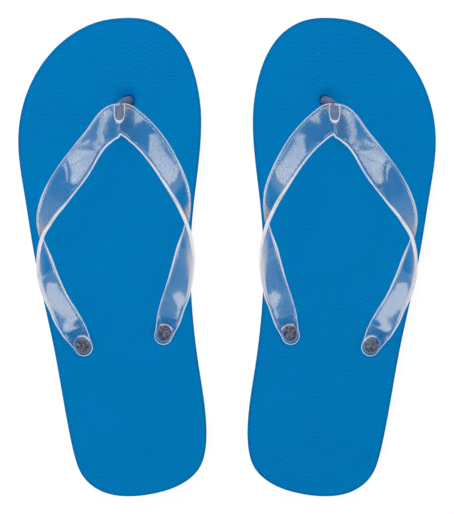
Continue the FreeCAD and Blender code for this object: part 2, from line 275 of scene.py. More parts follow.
class Shell:
    """Collects the vertices (mm) and faces of one piece."""

    def __init__(self):
        self.blocks = []
        self.faces = []
        self.count = 0

    def add(self, points):
        """Adds points and returns their indices."""
        self.blocks.append(points)
        self.count += len(points)
        return np.arange(self.count - len(points), self.count)

    def wall(self, upper, lower):
        """Quads between two closed loops of indices."""
        count = len(upper)
        for i in range(count):
            j = (i + 1) % count
            self.faces.append((upper[i], upper[j], lower[j], lower[i]))

    def stack(self, upper, loops):
        """Walls from the index loop down through loops of points; returns the last one."""
        for loop in loops:
            lower = self.add(loop)
            self.wall(upper, lower)
            upper = lower
        return upper

    def vertices(self):
        return np.vstack(self.blocks)


def new_object(name, data):
    thing = bpy.data.objects.new(name, data)
    bpy.context.scene.collection.objects.link(thing)
    return thing


def finish_mesh(mesh, material, sharp_angle=None):
    mesh.polygons.foreach_set("use_smooth", np.ones(len(mesh.polygons), bool))
    if sharp_angle is not None:
        mesh.set_sharp_from_angle(angle=math.radians(sharp_angle))
    mesh.materials.append(material)
    mesh.update()


def make_object(name, shape, material, mirror, merge, sharp_angle=None, attribute=None):
    """Object from (vertices, faces, attribute values) in mm; merge is the welding distance."""
    vertices = shape[0] * MM
    faces = [[int(i) for i in face] for face in shape[1]]
    if mirror:
        vertices = vertices * np.array((-1.0, 1.0, 1.0))
        faces = [face[::-1] for face in faces]
    mesh = bpy.data.meshes.new(name)
    mesh.from_pydata(vertices.tolist(), [], faces)
    if attribute:
        layer = mesh.attributes.new(attribute, "FLOAT", "POINT")
        layer.data.foreach_set("value", np.asarray(shape[2], np.float32))
    thing = new_object(name, mesh)
    work = bmesh.new()
    work.from_mesh(mesh)
    bmesh.ops.remove_doubles(work, verts=work.verts, dist=merge * MM)
    bmesh.ops.dissolve_degenerate(work, dist=1e-7, edges=work.edges)
    bmesh.ops.recalc_face_normals(work, faces=work.faces)
    work.to_mesh(mesh)
    work.free()
    finish_mesh(mesh, material, sharp_angle)
    return thing


def make_remeshed(name, parts, material, mirror, voxel, smooth_steps):
    """Joins closed shells (vertices, faces) into one solid with a voxel remesh."""
    faces = []
    offset = 0
    for vertices, part_faces in parts:
        faces += [tuple(int(i) + offset for i in face) for face in part_faces]
        offset += len(vertices)
    mesh = bpy.data.meshes.new(name + "_src")
    mesh.from_pydata((np.vstack([part[0] for part in parts]) * MM).tolist(), [], faces)
    thing = new_object(name, mesh)
    work = bmesh.new()
    work.from_mesh(mesh)
    bmesh.ops.recalc_face_normals(work, faces=work.faces)
    work.to_mesh(mesh)
    work.free()
    remesh = thing.modifiers.new("remesh", "REMESH")
    remesh.mode = "VOXEL"
    remesh.voxel_size = voxel * MM
    remesh.adaptivity = 0.0
    relax = thing.modifiers.new("smooth", "SMOOTH")
    relax.factor = 0.5
    relax.iterations = smooth_steps
    depsgraph = bpy.context.evaluated_depsgraph_get()
    bpy.context.view_layer.update()
    solid = bpy.data.meshes.new_from_object(thing.evaluated_get(depsgraph))
    thing.modifiers.clear()
    thing.data = solid
    if mirror:
        solid.transform(Matrix.Scale(-1, 4, (1, 0, 0)))
        solid.flip_normals()
    finish_mesh(solid, material)
    return thing


# --------------------------------------------------------------------------
# materials
# --------------------------------------------------------------------------
class Graph:
    """A node tree with short calls for the nodes used here."""

    def __init__(self, tree):
        self.tree = tree

    def node(self, kind, inputs=None, **settings):
        """Adds a node; inputs maps socket names or numbers to sockets, colours or numbers."""
        node = self.tree.nodes.new("ShaderNode" + kind)
        for name, value in settings.items():
            setattr(node, name, value)
        for key, value in (inputs or {}).items():
            if isinstance(value, bpy.types.NodeSocket):
                self.tree.links.new(value, node.inputs[key])
            elif isinstance(value, tuple):
                node.inputs[key].default_value = (*value, 1)
            else:
                node.inputs[key].default_value = value
        return node

    def coordinates(self):
        return self.node("TexCoord").outputs["Object"]

    def attribute(self, name):
        return self.node("Attribute", attribute_name=name).outputs["Fac"]

    def noise(self, vector, scale, detail=3.0, roughness=0.5):
        return self.node("TexNoise", {"Scale": scale, "Detail": detail, "Roughness": roughness,
                                      "Vector": vector}).outputs["Fac"]

    def cells(self, vector, scale):
        node = self.node("TexVoronoi", {"Scale": scale, "Vector": vector})
        return node.outputs["Distance"]

    def remap(self, value, source, to=(0.0, 1.0)):
        node = self.node("MapRange", {
            "From Min": source[0], "From Max": source[1],
            "To Min": to[0], "To Max": to[1], "Value": value}, clamp=True)
        return node.outputs["Result"]

    def math(self, operation, first, second):
        return self.node("Math", {0: first, 1: second}, operation=operation).outputs[0]

    def add(self, first, second):
        return self.math("ADD", first, second)

    def multiply(self, first, second):
        return self.math("MULTIPLY", first, second)

    def mix_colour(self, factor, first, second):
        return self.node("Mix", {"Factor": factor, "A": first, "B": second},
                         data_type="RGBA").outputs["Result"]

    def mix_shader(self, factor, first, second):
        return self.node("MixShader", {"Fac": factor, 1: first, 2: second}).outputs[0]

    def bump(self, height, strength, distance):
        node = self.node("Bump", {"Strength": strength, "Distance": distance, "Height": height})
        return node.outputs["Normal"]

    def shader(self, kind, inputs):
        return self.node(kind, inputs).outputs[0]


def new_material(name):
    material = bpy.data.materials.new(name)
    material.use_nodes = True
    material.node_tree.nodes.clear()
    return material, Graph(material.node_tree)


def dotted_colour(graph, coords, colour, tip_highlight, valley_shade):
    """Paints a highlight on the dots' tips and shade in the valleys between them, varied in
    patches, and scatters pale flecks.
    """
    dot = graph.attribute("dot")
    # painted highlight on the dots' tips and painted shade in the valleys, stronger or weaker
    # in patches
    shading_patches = graph.remap(graph.noise(coords, scale=24.0, detail=2.0),
                       source=(0.35, 0.65), to=(0.55, 1.0))
    tip_highlight_mask = graph.multiply(graph.remap(dot, source=(0.30, 0.95)), shading_patches)
    colour = graph.mix_colour(tip_highlight_mask, colour, tip_highlight)
    valley_shade_mask = graph.multiply(graph.remap(dot, source=(0.0, 0.30), to=(1.0, 0.0)),
                               graph.multiply(shading_patches, 0.85))
    colour = graph.mix_colour(valley_shade_mask, colour, valley_shade)
    fleck = graph.remap(graph.cells(coords, scale=52.0), source=(0.0, 0.045), to=(1.0, 0.0))
    chosen = graph.remap(graph.noise(coords, scale=31.0, detail=1.0),
                         source=(0.64, 0.66), to=(0.0, 0.5))
    fleck_colour = (0.20, 0.42, 0.66)
    return graph.mix_colour(graph.multiply(fleck, chosen), colour, fleck_colour)


def foam_material(name, base, deep, pit_scale, pit_strength, roughness, specular, dots=None):
    """Closed-cell foam with fine pores and faint mottling; dots holds the colours of the
    painted highlight on their tips and the painted shade between them.
    """
    material, graph = new_material(name)
    coords = graph.coordinates()
    large = graph.noise(coords, scale=34.0)
    medium = graph.noise(coords, scale=150.0)
    fine = graph.noise(coords, scale=900.0, detail=4.0, roughness=0.65)
    # weights of the three noises in the mottling
    blend = graph.add(graph.multiply(large, 0.55),
                      graph.add(graph.multiply(medium, 0.20), graph.multiply(fine, 0.25)))
    colour = graph.mix_colour(graph.remap(blend, source=(0.36, 0.64)), deep, base)
    if dots:
        colour = dotted_colour(graph, coords, colour, **dots)
    pits = graph.add(graph.multiply(graph.cells(coords, scale=pit_scale), 0.6), fine)
    foam = graph.shader("BsdfPrincipled", {
        "Base Color": colour,
        "Roughness": graph.remap(fine, source=(0.3, 0.7),
                                 to=(roughness - 0.08, roughness + 0.10)),
        "Specular IOR Level": specular,
        "Sheen Weight": 0.0 if dots else 0.03,
        "Sheen Roughness": 0.5,
        "Normal": graph.bump(pits, strength=pit_strength, distance=0.0002)})
    graph.node("OutputMaterial", {"Surface": foam})
    return material


def clear_material(name):
    """Clear glossy soft plastic whose rims carry a painted highlight in a pale matt finish, and
    which casts no hard shadow.
    """
    material, graph = new_material(name)
    coords = graph.coordinates()
    wave = graph.noise(coords, scale=40.0, detail=2.0)
    haze = graph.noise(coords, scale=70.0, detail=2.0)
    ripple = graph.bump(wave, strength=0.14, distance=0.0008)
    clear = graph.shader("BsdfPrincipled", {
        "Base Color": (0.955, 0.972, 0.99),
        "Transmission Weight": 1.0,
        "IOR": 1.49,
        "Specular IOR Level": 0.35,
        "Roughness": graph.remap(haze, source=(0.35, 0.75), to=(0.12, 0.18)),
        "Coat Weight": 1.0,
        "Coat IOR": 1.5,
        "Coat Roughness": graph.remap(haze, source=(0.35, 0.75), to=(0.014, 0.030)),
        "Normal": ripple,
        "Coat Normal": ripple})
    # painted highlight along the rims in a pale matt finish; the emission stands for light
    # gathered by the sheet and leaving at its rims
    rim_highlight_finish = graph.shader("BsdfPrincipled", {
        "Base Color": (0.90, 0.90, 0.94),
        "Roughness": 0.30,
        "IOR": 1.5,
        "Transmission Weight": 0.15,
        "Emission Color": (0.90, 0.92, 1.0),
        "Emission Strength": 0.13})
    # the painted rim highlight is a little stronger or weaker along the band
    vary = graph.remap(graph.noise(coords, scale=120.0), source=(0.30, 0.70), to=(0.72, 1.0))
    body = graph.mix_shader(graph.multiply(graph.attribute("rim"), vary), clear, rim_highlight_finish)
    # paths trapped between the faces end in a soft glow
    glow = graph.shader("Emission", {"Color": (0.60, 0.66, 0.74), "Strength": 0.9})
    path = graph.node("LightPath").outputs
    deepest_bounce = 6.5
    trapped = graph.math("GREATER_THAN", path["Ray Depth"], deepest_bounce)
    body = graph.mix_shader(trapped, body, glow)
    passes = graph.math("MAXIMUM", path["Is Shadow Ray"], path["Is Diffuse Ray"])
    see_through = graph.shader("BsdfTransparent", {"Color": (0.95, 0.965, 0.975)})
    graph.node("OutputMaterial", {"Surface": graph.mix_shader(passes, body, see_through)})
    return material


def smoke_material(name, dark, light, scale, roughness):
    """Smoky soft plastic, clouded inside; roughness is a range."""
    material, graph = new_material(name)
    coords = graph.coordinates()
    cloud = graph.noise(coords, scale=scale, roughness=0.55)
    grain = graph.noise(coords, scale=scale * 4.0, roughness=0.6)
    smoke = graph.shader("BsdfPrincipled", {
        "Base Color": graph.mix_colour(graph.remap(cloud, source=(0.38, 0.62)), dark, light),
        "Roughness": graph.remap(grain, source=(0.3, 0.7), to=roughness),
        "IOR": 1.5,
        "Specular IOR Level": 0.25,
        "Coat Weight": 0.12,
        "Coat Roughness": 0.12,
        "Normal": graph.bump(grain, strength=0.10, distance=0.0002)})
    graph.node("OutputMaterial", {"Surface": smoke})
    return material


def floor_material():
    """Grey floor that glows; how bright depends on the kind of ray that sees it."""
    material, graph = new_material("floor")
    path = graph.node("LightPath").outputs
    seen = graph.math("MAXIMUM", path["Is Camera Ray"], path["Is Transmission Ray"])
    level = graph.remap(seen, source=(0, 1), to=(0.55, 0.90))
    glossy_drop = graph.multiply(path["Is Glossy Ray"], 0.40)
    diffuse = graph.shader("BsdfDiffuse", {"Color": (0.16, 0.16, 0.16)})
    glow = graph.shader("Emission", {"Color": (1, 1, 1),
                                     "Strength": graph.math("SUBTRACT", level, glossy_drop)})
    graph.node("OutputMaterial", {"Surface": graph.shader("AddShader", {0: diffuse, 1: glow})})
    return material


# the footbed's dots get a painted highlight colour on their tips and a painted shade colour in
# the valleys
FOOTBED_FOAM = foam_material(
    "footbed_foam", base=(0.0004, 0.186, 0.466), deep=(0.0002, 0.168, 0.428),
    pit_scale=2600.0, pit_strength=0.20, roughness=0.70, specular=0.0,
    dots={"tip_highlight": (0.010, 0.320, 0.650), "valley_shade": (0.0001, 0.128, 0.360)})
MIDSOLE_FOAM = foam_material(
    "midsole_foam", base=(0.0030, 0.160, 0.440), deep=(0.0018, 0.128, 0.370),
    pit_scale=1500.0, pit_strength=0.50, roughness=0.70, specular=0.10)
OUTSOLE_FOAM = foam_material(
    "outsole_foam", base=(0.0026, 0.138, 0.395), deep=(0.0016, 0.110, 0.325),
    pit_scale=1700.0, pit_strength=0.42, roughness=0.68, specular=0.12)
CLEAR_PLASTIC = clear_material("clear_band")
SMOKE_PLASTIC = smoke_material(
    "smoke_plastic", dark=(0.030, 0.036, 0.060), light=(0.155, 0.165, 0.225),
    scale=780.0, roughness=(0.30, 0.45))
SMOKE_POST = smoke_material(
    "smoke_post", dark=(0.075, 0.115, 0.195), light=(0.115, 0.160, 0.265),
    scale=300.0, roughness=(0.40, 0.55))

# --------------------------------------------------------------------------
# shared parts of the sole's layers
# --------------------------------------------------------------------------
RIM = resample_outline(OUTLINE, RIM_POINTS)
RIM_NORMALS = inward_normals(RIM)
DOT_PITCH = 1.6
DOT_TURN = -0.4             # degrees by which the rows of dots are turned from the x axis
EDGE_CHAMFER = (0.08, 0.14)  # inset and drop of the loop next to a layer's flat face


def rim_flat(inset):
    return RIM + RIM_NORMALS * inset


def rim(inset, z):
    return np.c_[rim_flat(inset), np.full(RIM_POINTS, z)]


def wavy_rim(inset, z, amplitude):
    """Rim loop with the faint unevenness of a die-cut foam edge."""
    loop = rim(inset, z)
    x, y, z = loop.T
    wave = amplitude * (np.sin(x * 0.9 + z * 1.7) * 0.5
                        + np.sin(y * 1.3 - z * 1.1 + 0.7) * 0.5
                        + np.sin(x * 2.3 + y * 1.9 + z * 3.1) * 0.35)
    loop[:, :2] += RIM_NORMALS * wave[:, None]
    return loop


def circle(centre, opening):
    angle = full_turn(opening.segments)
    return np.c_[centre[0] + opening.radius * np.cos(angle),
                 centre[1] + opening.radius * np.sin(angle)]


def level_circle(centre, opening, z):
    return np.c_[circle(centre, opening), np.full(opening.segments, z)]


def clear_of_holes(points, distance):
    for hole in HOLES:
        points = points[distance_to(points, hole) > distance]
    return points


def lattice(step, turn):
    """Triangular grid over the sole, turned by some degrees."""
    angle = math.radians(turn)
    first = direction(angle) * step
    second = direction(angle + math.pi / 3) * step
    reach = int(330 / step)
    steps = np.arange(-reach, reach + 1)
    along_first, along_second = np.meshgrid(steps, steps)
    points = along_first.reshape(-1, 1) * first + along_second.reshape(-1, 1) * second
    low, high = RIM.min(0), RIM.max(0)
    return points[((points > low) & (points < high)).all(axis=1)]


def coarse_points(opening):
    """Sparse interior points for a flat face with the given opening at each hole."""
    step = 6.0
    loop = rim_flat(1.0)
    points = lattice(step, 0.0)
    points = points[is_inside(points, loop)]
    points = points[loop_distance(points, loop) > step * 0.4]
    return clear_of_holes(points, opening.radius + step * 0.3)


def fill(shell, interior, inset, opening, height, up):
    """Adds a face from the inset rim to the openings; height is a level or a function.

    Returns the indices of all its points, of the rim loop and of each opening's loop.
    """
    blocks = [rim_flat(inset)] + [circle(hole, opening) for hole in HOLES]
    loops = []
    start = 0
    for block in blocks:
        loops.append(range(start, start + len(block)))
        start += len(block)
    flat, faces, new_index = triangulate(np.vstack(blocks + [interior]), loops,
                                         HOLES, opening.radius)
    z = height(flat) if callable(height) else np.full(len(flat), height)
    index = shell.add(np.c_[flat, z])
    shell.faces.extend(index[faces if up else faces[:, [0, 2, 1]]].tolist())
    outline, *openings = [index[[new_index[i] for i in loop]] for loop in loops]
    return index, outline, openings


# --------------------------------------------------------------------------
# footbed
# --------------------------------------------------------------------------
# where the band's rear pads press on the footbed: hole, heading, radius
PADS = ((OUTER_HOLE, OUTER_HEADING, 5.2), (INNER_HOLE, INNER_HEADING, 5.4))
FOOTBED_ROUND = 0.9         # radius of the footbed's top edge


def pad_distance(points, hole, heading, radius):
    along = direction(heading)
    return segment_distance(points, [hole - along * 4.5], [hole + along * 1.6]) - radius


def pressed_height(points):
    """Height of the surface under the dots, pressed in round the pads and the post."""
    z = np.full(len(points), SOLE_TOP)
    for pad in PADS:
        z -= 0.55 * (1 - ease(pad_distance(points, *pad), -0.6, 3.4))
    radius = distance_to(points, TOE_HOLE)
    z -= 0.55 * (1 - ease(radius, 2.4, 8.0)) + 0.7 * (1 - ease(radius, 2.4, 3.9))
    return z


def dot_pattern(points):
    """0..1 height of the hexagonal grid of small raised dots."""
    turn = math.radians(DOT_TURN)
    x = points[:, 0] * math.cos(turn) + points[:, 1] * math.sin(turn)
    y = -points[:, 0] * math.sin(turn) + points[:, 1] * math.cos(turn)
    frequency = 4 * math.pi / (math.sqrt(3) * DOT_PITCH)
    total = np.zeros(len(points))
    # three crossing waves: direction in degrees and weight
    for degrees, weight in ((90.0, 0.78), (30.0, 1.32), (150.0, 0.90)):
        angle = math.radians(degrees)
        total += weight * np.cos(frequency * (x * math.cos(angle) + y * math.sin(angle)))
    return ease((total + 1.5) / 4.5, 0.16, 0.92)


def dot_fade(points, edge):
    """Share of the dots' height that is left near the edge, holes, post and pads."""
    fade = ease(edge, 0.1, 1.0)
    for hole in HOLES:
        fade = fade * ease(distance_to(points, hole), BORE.radius + 0.2, BORE.radius + 1.5)
    # stretched nearly flat in an oval round the post
    from_post = np.hypot(points[:, 0] - TOE_HOLE[0] + 2.2,
                         (points[:, 1] - TOE_HOLE[1] - 2.0) * 1.1)
    fade = fade * (0.12 + 0.88 * ease(from_post, 4.5, 8.5))
    for pad in PADS:
        fade = fade * (0.25 + 0.75 * ease(pad_distance(points, *pad), -0.5, 1.0))
    return fade


def build_footbed():
    shell = Shell()
    loop = rim_flat(FOOTBED_ROUND)
    points = lattice(DOT_PITCH / 3, DOT_TURN)
    points = points[is_inside(points, rim_flat(1.0))]
    points = points[loop_distance(points, loop) > 0.34]
    points = clear_of_holes(points, BORE.radius + 0.3)
    raised = None

    def surface(flat):
        nonlocal raised
        edge = loop_distance(flat, loop)
        fade = dot_fade(flat, edge)
        raised = dot_pattern(flat) * fade
        # very slight softness of the pressed sheet
        swell = 0.10 * (np.sin(flat[:, 0] * 0.043 + 1.3) * np.sin(flat[:, 1] * 0.031 + 0.4))
        z = pressed_height(flat) + swell * ease(edge, 0.0, 8.0)
        return z - 0.22 + 0.42 * raised + 0.20 * (1 - fade)

    dotted, top, top_holes = fill(shell, points, FOOTBED_ROUND, BORE, surface, up=True)
    sides = []
    for degrees in (20, 40, 60, 75, 90):
        angle = math.radians(degrees)
        sides.append(rim(FOOTBED_ROUND * (1 - math.sin(angle)),
                         SOLE_TOP - FOOTBED_ROUND * (1 - math.cos(angle))))
    sides += [rim(0.0, z) for z in (13.3, 12.5, 11.78)]
    bottom = MIDSOLE_TOP + LAYER_GAP
    sides += [rim(0.10, 11.60), rim(LAYER_INSET, bottom)]
    shell.stack(top, sides)
    _, _, low_holes = fill(shell, coarse_points(BORE), LAYER_INSET, BORE, bottom, up=False)
    for upper, lower, hole in zip(top_holes, low_holes, HOLES):
        bore = [level_circle(hole, BORE, z) for z in (13.2, 12.4)]
        shell.wall(shell.stack(upper, bore), lower)
    vertices = shell.vertices()
    # the painted highlight on the dots' tips and the painted shade between them are strongest
    # at the toe and weaker under the foot
    y = vertices[dotted, 1]
    shading_strength = 0.78 + 0.32 * ease(y, 40, 105) + 0.10 * (1 - ease(y, -90, -50))
    dots = np.zeros(len(vertices))
    dots[dotted] = 0.30 + (raised - 0.30) * shading_strength
    return vertices, shell.faces, dots


# --------------------------------------------------------------------------
# midsole
# --------------------------------------------------------------------------
WAIST = 0.32                # how far the edge is drawn in at half height


def build_midsole():
    shell = Shell()
    low = OUTSOLE_TOP + LAYER_GAP
    high = MIDSOLE_TOP - LAYER_GAP
    _, top, bores = fill(shell, coarse_points(BORE), LAYER_INSET, BORE, high, up=True)
    inset, drop = EDGE_CHAMFER
    sides = [rim(inset, high - drop)]
    for z in np.linspace(high - 0.5, low + 0.5, 12):
        part = (z - low) / (high - low)
        sides.append(wavy_rim(WAIST * 4 * part * (1 - part), z, amplitude=0.05))
    sides += [rim(inset, low + drop), rim(LAYER_INSET, low)]
    shell.stack(top, sides)
    _, _, recesses = fill(shell, coarse_points(RECESS), LAYER_INSET, RECESS, low, up=False)
    for bore, recess, hole in zip(bores, recesses, HOLES):
        roof = shell.add(level_circle(hole, RECESS, RECESS_ROOF))
        shell.wall(roof, recess)
        mouth = shell.add(level_circle(hole, BORE, RECESS_ROOF))
        # flat ring between the recess wall and the bore
        ring = np.r_[roof, mouth]
        _, faces, new_index = triangulate(
            np.vstack([circle(hole, RECESS), circle(hole, BORE)]),
            [range(RECESS.segments), range(RECESS.segments, len(ring))],
            [hole], BORE.radius)
        vertex = {new_index[i]: ring[i] for i in range(len(ring))}
        for a, b, c in faces:
            shell.faces.append((vertex[a], vertex[c], vertex[b]))
        shell.wall(bore, mouth)
    return shell.vertices(), shell.faces


# --------------------------------------------------------------------------
# outsole
# --------------------------------------------------------------------------
GROOVE_PITCH = 8.0
GROOVE_PHASE = 1.0          # y of one groove's middle
GROOVE_WIDTH = 2.0
GROOVE_DEPTH = 0.8
GROOVE_INSET = 7.0          # distance of the groove ends from the rim
GROOVE_REACH = 124          # furthest groove from y = 0
# rows of vertices, measured across a groove from its middle
TREAD_ROWS = (-2.6, -1.05, -0.85, -0.65, 0, 0.65, 0.85, 1.05, 2.6)
TREAD_STEP = 1.1            # spacing of vertices along a row


def groove_height(points):
    """Height of the underside: 0, or up to the groove depth in a groove."""
    number = np.round((points[:, 1] - GROOVE_PHASE) / GROOVE_PITCH)
    middle = number * GROOVE_PITCH + GROOVE_PHASE
    off = np.abs(points[:, 1] - middle)
    section = 1 - ease(off, GROOVE_WIDTH / 2 - 0.45, GROOVE_WIDTH / 2 + 0.05)
    loop = rim_flat(GROOVE_INSET)
    fade = np.where(is_inside(points, loop), ease(loop_distance(points, loop), 0.0, 0.8), 0.0)
    for hole in HOLES:
        fade = fade * ease(distance_to(points, hole), RECESS.radius + 3.0, RECESS.radius + 3.8)
    fade = fade * (np.abs(middle) <= GROOVE_REACH)
    return GROOVE_DEPTH * section * fade


def tread_points():
    low, high = RIM.min(0), RIM.max(0)
    rows = [number * GROOVE_PITCH + GROOVE_PHASE + offset
            for number in range(-17, 18) for offset in TREAD_ROWS]
    rows = [y for y in rows if low[1] + 1 < y < high[1] - 1]
    blocks = []
    for i, y in enumerate(rows):
        x = np.arange(low[0] + 0.5 + (i % 2) * 0.5, high[0], TREAD_STEP)
        blocks.append(np.c_[x, np.full(len(x), y)])
    points = np.vstack(blocks)
    points = points[is_inside(points, rim_flat(1.3))]
    return clear_of_holes(points, RECESS.radius + 0.4)


def build_outsole():
    shell = Shell()
    high = OUTSOLE_TOP - LAYER_GAP
    _, top, uppers = fill(shell, coarse_points(RECESS), LAYER_INSET, RECESS, high, up=True)
    inset, drop = EDGE_CHAMFER
    sides = [rim(inset, high - drop)]
    sides += [wavy_rim(0.0, z, amplitude=0.04) for z in (2.4, 1.9, 1.4, 0.9)]
    # rounded lower edge: inset, z
    sides += [rim(*step) for step in ((0.06, 0.45), (0.22, 0.16), (0.45, 0.03), (0.75, 0.0))]
    shell.stack(top, sides)
    _, _, lowers = fill(shell, tread_points(), 0.75, RECESS, groove_height, up=False)
    for upper, lower in zip(uppers, lowers):
        shell.wall(upper, lower)
    return shell.vertices(), shell.faces


# --------------------------------------------------------------------------
# band
# --------------------------------------------------------------------------
BEAD_RADIUS = 1.00          # rounded edge of the band
WEB = 0.78                  # half thickness between the edges
FULL_HALF_WIDTH = 8.4
PAD_HEIGHT = 0.62           # middle of the pads above the footbed
# rear pads: distance past the hole along the heading, width
OUTER_PAD = ((-4.6, 12.4), (-2.3, 11.4), (0.0, 10.55), (1.6, 10.15))
INNER_PAD = ((-4.3, 12.0), (-2.2, 11.1), (0.0, 10.4), (1.6, 10.0))
CAP_ANGLES = (8, 16, 24, 32, 40, 48, 56, 63, 70, 76, 81, 85, 88, 90)
HEAD_STRETCH = 0.12         # how much longer the plugs' heads are along the band

# frame of the post's root at the apex: x towards the outer side, y to the rear and
# up the tilt, z out of the band
ROOT_ORIGIN = np.array((-59.5, 84.2, SOLE_TOP + 9.6))
TILT = math.radians(27.5)
ROOT_X = np.array((-1.0, 0.0, 0.0))
ROOT_Y = np.array((0.0, -math.cos(TILT), math.sin(TILT)))
ROOT_Z = np.array((0.0, math.sin(TILT), math.cos(TILT)))
ROOT_SHIFT = 0.38           # the root's middle lies this far towards +X of the origin
ROOT_STRAIGHT = 5.0         # the root's U turns round beyond this y


def root_field(x, y, half_width, length, power):
    """Rough signed distance to a U-shaped outline of the root, negative inside."""
    across = np.abs(x) / half_width
    beyond = np.maximum(y - ROOT_STRAIGHT, 0) / length
    return ((across ** power + beyond ** power) ** (1 / power) - 1) * half_width


def pad_sections(hole, heading, side, stations):
    """Flat sections over a rear pad, with the upper edge on the sandal's outside there."""
    along = direction(heading)
    across = np.array((-along[1], along[0])) * side
    rows = []
    for distance, width in stations:
        centre = hole + along * distance
        half = -across * (width / 2)
        rows.append(np.r_[centre + half, PAD_HEIGHT, centre - half, PAD_HEIGHT])
    return rows


def end_cap(centre, half, heading):
    """Sections that round off an end of the band."""
    along = np.r_[direction(heading), 0.0]
    radius = np.linalg.norm(half)
    angles = [math.radians(degrees) for degrees in CAP_ANGLES]
    return (np.array([centre + along * radius * math.sin(angle) for angle in angles]),
            np.array([half * math.cos(angle) for angle in angles]))


def station_places(total, apex):
    """Distances along the band, denser at the apex and at the pads."""
    places = [0.0]
    while places[-1] < total:
        here = places[-1]
        from_apex = abs(here - apex)
        step = 0.30 if from_apex < 6 else (0.55 if from_apex < 18 else 1.0)
        if min(here, total - here) < 14:
            step = 0.45
        places.append(here + step)
    places = np.array(places)
    places = places * (total / places[-1])
    nearest = int(np.argmin(np.abs(places - apex)))
    places[nearest] = apex
    return places, nearest


def band_sections():
    """Centres and half-width vectors from outer to inner pad, and the apex's index."""
    outer = OUTER_LEG + pad_sections(OUTER_HOLE, OUTER_HEADING, 1, OUTER_PAD)
    inner = INNER_LEG + pad_sections(INNER_HOLE, INNER_HEADING, -1, INNER_PAD)
    rows = np.array(outer[::-1] + [APEX_SECTION] + inner)
    lift = np.array((0, 0, SOLE_TOP))
    upper = rows[:, 0:3] + lift
    lower = rows[:, 3:6] + lift
    centres = (upper + lower) / 2
    knots = arc_length(centres)
    curve = natural_spline(knots, np.hstack([centres, (upper - lower) / 2]))
    places, apex = station_places(knots[-1], knots[len(outer)])
    sections = curve(places)
    centres, halves = sections[:, :3], sections[:, 3:]
    start = end_cap(centres[0], halves[0], OUTER_HEADING)
    end = end_cap(centres[-1], halves[-1], INNER_HEADING)
    return (np.vstack([start[0][::-1], centres, end[0]]),
            np.vstack([start[1][::-1], halves, end[1]]),
            apex + len(CAP_ANGLES))


def cross_stations():
    """Places across the band from 1 to -1, finer towards the edges."""
    fine_end = 2.4
    inset = [0, .03, .10, .22, .38, .58, .80, 1.02, 1.24, 1.48, 1.75, 2.05, fine_end]
    while inset[-1] < FULL_HALF_WIDTH - 0.15:
        inset.append(inset[-1] + 0.30)
    inset = np.array(inset)
    stretched = (fine_end + (inset - fine_end) * (FULL_HALF_WIDTH - fine_end)
                 / (inset[-1] - fine_end))
    half = 1 - np.where(inset > fine_end, stretched, inset) / FULL_HALF_WIDTH
    return np.r_[half, -half[::-1][1:]]


def grid_normals(grid):
    normals = np.cross(np.gradient(grid, axis=0), np.gradient(grid, axis=1))
    length = np.linalg.norm(normals, axis=2, keepdims=True)
    normals = normals / np.maximum(length, 1e-12)
    # the grid degenerates at the ends, so the normals there come from further in
    normals[:3] = normals[3]
    normals[-3:] = normals[-4]
    return normals


def edge_distance(grid):
    """Distance of every grid point to the edge of the band."""
    count = len(grid)
    first, last = grid[:, 0], grid[:, -1]
    distance = np.zeros(grid.shape[:2])
    window = 46
    for i in range(count):
        low, high = max(0, i - window), min(count - 1, i + window)
        distance[i] = segment_distance(
            grid[i], np.vstack([first[low:high], last[low:high]]),
            np.vstack([first[low + 1:high + 1], last[low + 1:high + 1]]))
    distance[:, 0] = distance[:, -1] = 0
    distance[0] = distance[-1] = 0
    return distance


def raise_outer_leg(grid, from_apex):
    """Lifts the outer leg's inner part a little between the apex and its twist."""
    leg = ease(from_apex, -80, -66) * (1 - ease(from_apex, -6, -2))
    lift = np.interp(grid[:, :, 1], [14, 22, 30, 40, 49, 58, 68, 80],
                     [0, 0.15, 0.75, 1.25, 0.45, -0.40, -0.15, 0])
    grid[:, :, 2] += leg[:, None] * ease(grid[:, :, 0], -92.5, -86.3) * lift


def apex_features(grid, apex):
    """Masks of the tray for the root, its U-shaped ridge, the notch, a fine line, the slot."""
    offset = grid - ROOT_ORIGIN
    x = offset @ ROOT_X + ROOT_SHIFT
    y = offset @ ROOT_Y
    near = (np.abs(np.arange(len(grid)) - apex) < 70)[:, None]
    inner = root_field(x, y, half_width=2.48, length=5.7, power=2.5)
    outer = root_field(x, y, half_width=3.26, length=8.3, power=2.1)
    # notch in the front edge
    notch = near * (1 - ease(np.abs(x + 0.9), 0.55, 0.85)) * (1 - ease(y, 2.2, 3.0))
    ridge = (near * ease(inner, -0.02, 0.30) * (1 - ease(outer, -0.32, 0.02))
             * ease(y, 0.7, 1.5) * (1 - notch))
    tray = np.maximum(near * (1 - ease(inner, -0.34, -0.04)) * ease(y, 1.0, 1.5), notch)
    # line from the root to the inside of the V
    line = near * np.exp(-(x / 0.22) ** 2) * ease(y, 12.8, 13.6) * (1 - ease(y, 16.0, 18.5))
    slot = (inner < -0.70) & (y > 1.7) & near
    return tray, ridge, notch, line, slot


def band_faces(slot):
    """Quads of both faces of the grid, with walls round the slot cut through it."""
    rows, columns = slot.shape
    under = rows * columns
    cut = slot[:-1, :-1] & slot[1:, :-1] & slot[:-1, 1:] & slot[1:, 1:]
    faces = []
    for i in range(rows - 1):
        for j in range(columns - 1):
            first = i * columns + j
            corners = (first, first + 1, first + columns + 1, first + columns)
            if not cut[i, j]:
                faces.append(corners)
                faces.append(tuple(under + corners[k] for k in (0, 3, 2, 1)))
                continue
            for k, (row, column) in enumerate(((-1, 0), (0, 1), (1, 0), (0, -1))):
                if not cut[i + row, j + column]:
                    start, end = corners[k], corners[(k + 1) % 4]
                    faces.append((start, end, under + end, under + start))
    return np.array(faces)


